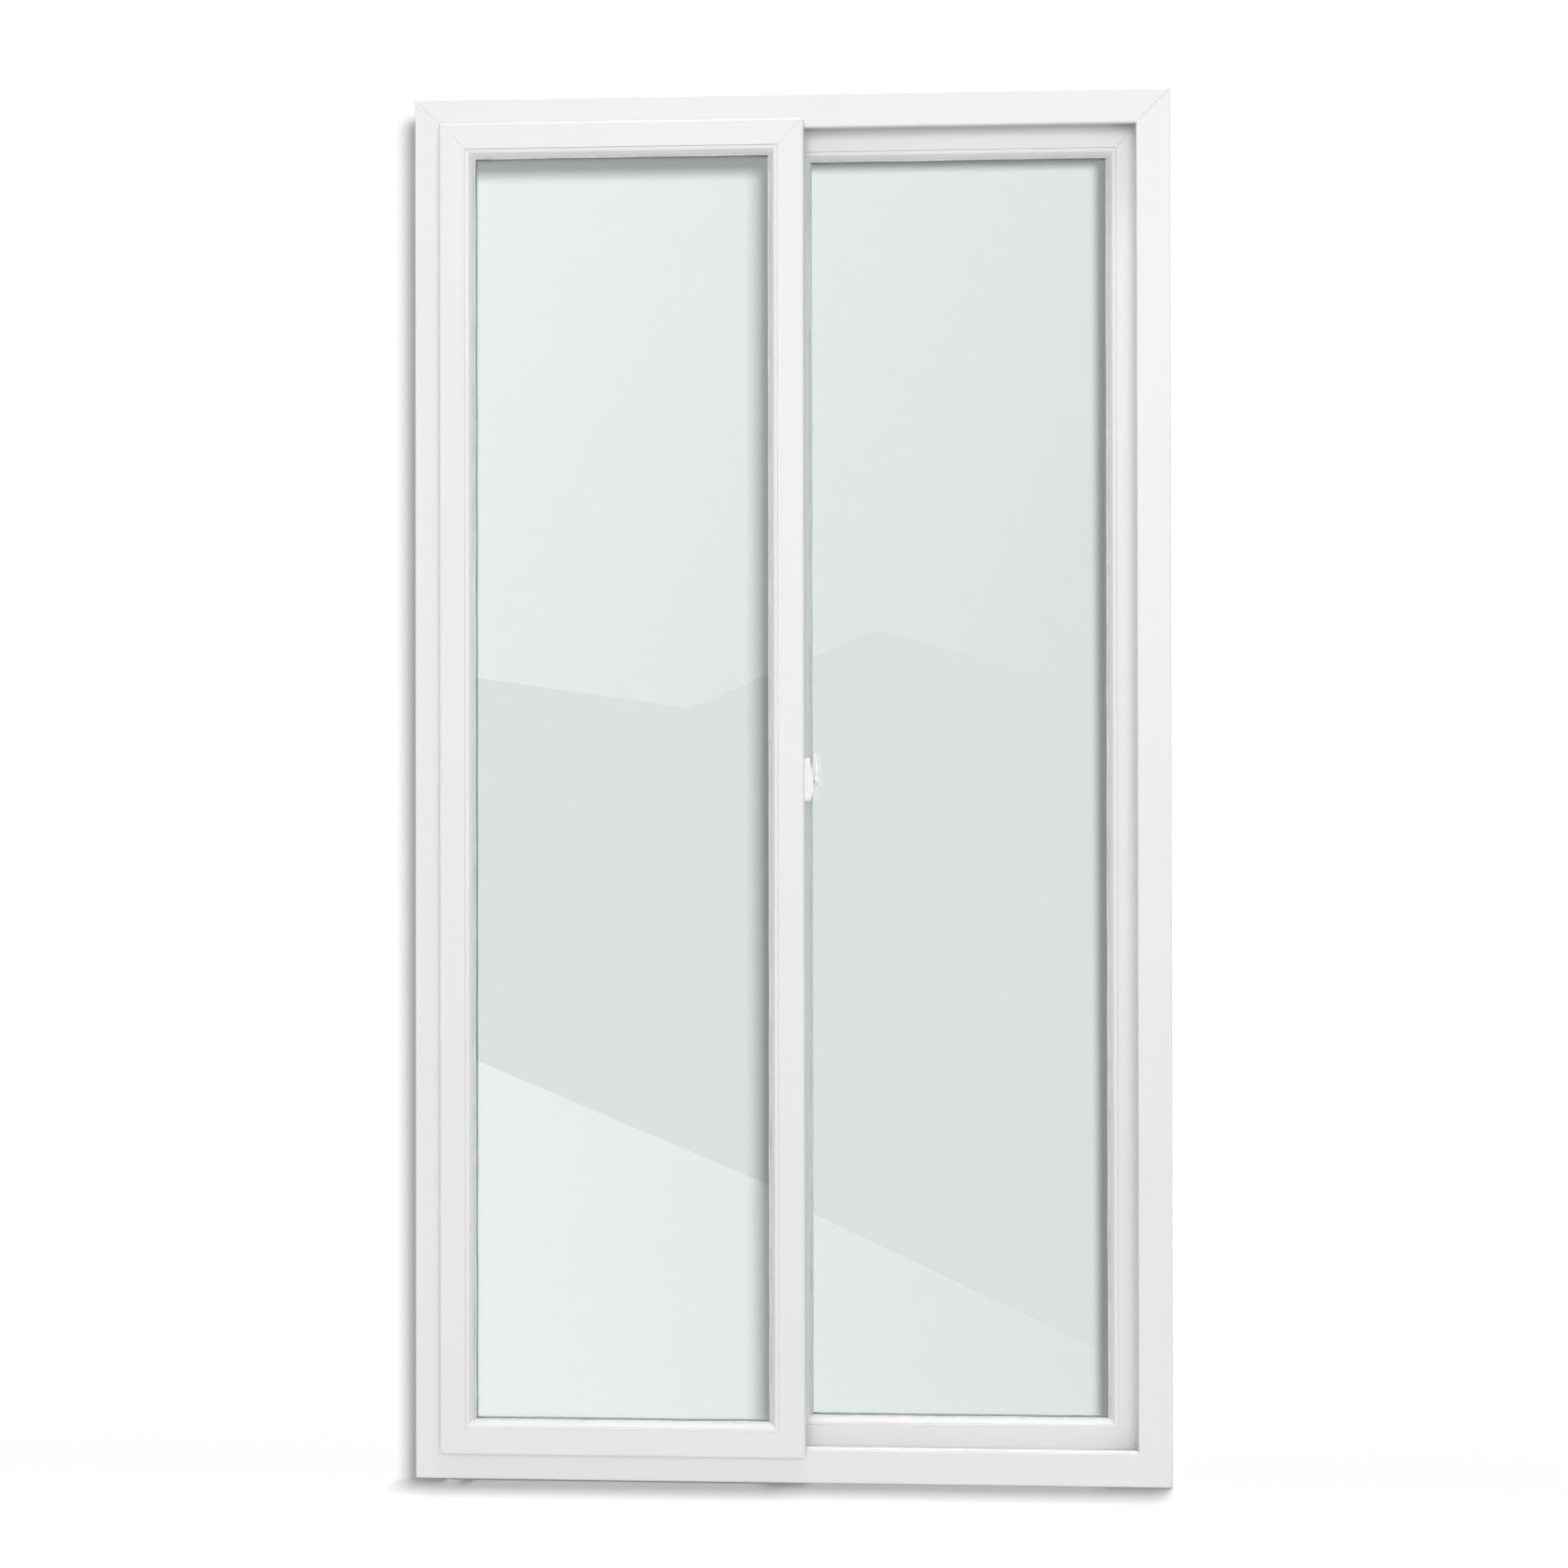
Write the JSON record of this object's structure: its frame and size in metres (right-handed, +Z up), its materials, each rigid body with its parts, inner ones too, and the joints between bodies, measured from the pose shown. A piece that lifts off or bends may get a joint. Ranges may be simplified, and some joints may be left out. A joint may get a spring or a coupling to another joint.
{
  "type": "sliding patio door",
  "caption": "White glass sliding patio door with a mitred frame, a panel that rolls on the room-side track, a fixed panel behind it and a crescent latch.",
  "frame": {"origin": "middle of the sill's underside", "axes": "+X to the right seen from the room, +Y from the room through the wall, +Z up"},
  "size_m": [1.2, 0.102, 2.2],
  "materials": {
    "white_pvc": "smooth satin extruded PVC",
    "glass": "clear float glass with a pale green tint",
    "spacer_aluminium": "mill finish",
    "track_aluminium": "satin",
    "gasket_rubber": "matt grey",
    "buffer_rubber": "matt",
    "brush_pile": "grey pile",
    "packer_plastic": "matt",
    "carriage_plastic": "matt",
    "wheel_nylon": "matt nylon",
    "latch_enamel": "white enamel",
    "latch_steel": "zinc plated"
  },
  "bodies": {
    "frame": {"frame_head": "white_pvc", "frame_sill": "white_pvc", "frame_left_jamb": "white_pvc", "frame_right_jamb": "white_pvc", "sill_track": "track_aluminium", "travel_stops": "buffer_rubber", "fixed_panel_top_rail": "white_pvc", "fixed_panel_bottom_rail": "white_pvc", "fixed_panel_meeting_stile": "white_pvc", "fixed_panel_jamb_stile": "white_pvc", "fixed_panel_top_bead": "white_pvc", "fixed_panel_bottom_bead": "white_pvc", "fixed_panel_left_bead": "white_pvc", "fixed_panel_right_bead": "white_pvc", "fixed_panel_front_glass": "glass", "fixed_panel_rear_glass": "glass", "fixed_panel_spacer": "spacer_aluminium", "fixed_panel_front_gasket": "gasket_rubber", "fixed_panel_rear_gasket": "gasket_rubber", "fixed_panel_interlock": "white_pvc", "fixed_panel_stile_cover": "white_pvc", "fixed_panel_brush_seals": "brush_pile", "fixed_panel_packers": "packer_plastic", "latch_keeper": "latch_steel"},
    "sliding_panel": {"sliding_panel_top_rail": "white_pvc", "sliding_panel_bottom_rail": "white_pvc", "sliding_panel_meeting_stile": "white_pvc", "sliding_panel_jamb_stile": "white_pvc", "sliding_panel_top_bead": "white_pvc", "sliding_panel_bottom_bead": "white_pvc", "sliding_panel_left_bead": "white_pvc", "sliding_panel_right_bead": "white_pvc", "sliding_panel_front_glass": "glass", "sliding_panel_rear_glass": "glass", "sliding_panel_spacer": "spacer_aluminium", "sliding_panel_front_gasket": "gasket_rubber", "sliding_panel_rear_gasket": "gasket_rubber", "sliding_panel_interlock": "white_pvc", "sliding_panel_stile_cover": "white_pvc", "sliding_panel_brush_seals": "brush_pile", "roller_carriages": "carriage_plastic", "roller_wheels": "wheel_nylon", "latch_base": "latch_enamel", "latch_cover": "latch_enamel"},
    "latch": {"latch_crescent": "latch_steel", "latch_handle": "latch_enamel"}
  },
  "joints": [
    {"name": "panel_slide", "type": "slide", "parent": "frame", "child": "sliding_panel", "axis": [1, 0, 0], "range_m": [0, 0.4945]},
    {"name": "latch_turn", "type": "hinge", "parent": "sliding_panel", "child": "latch", "pos_m": [0.033, -0.02, 1.112], "axis": [1, 0, 0], "range_deg": [0, 180]}
  ]
}
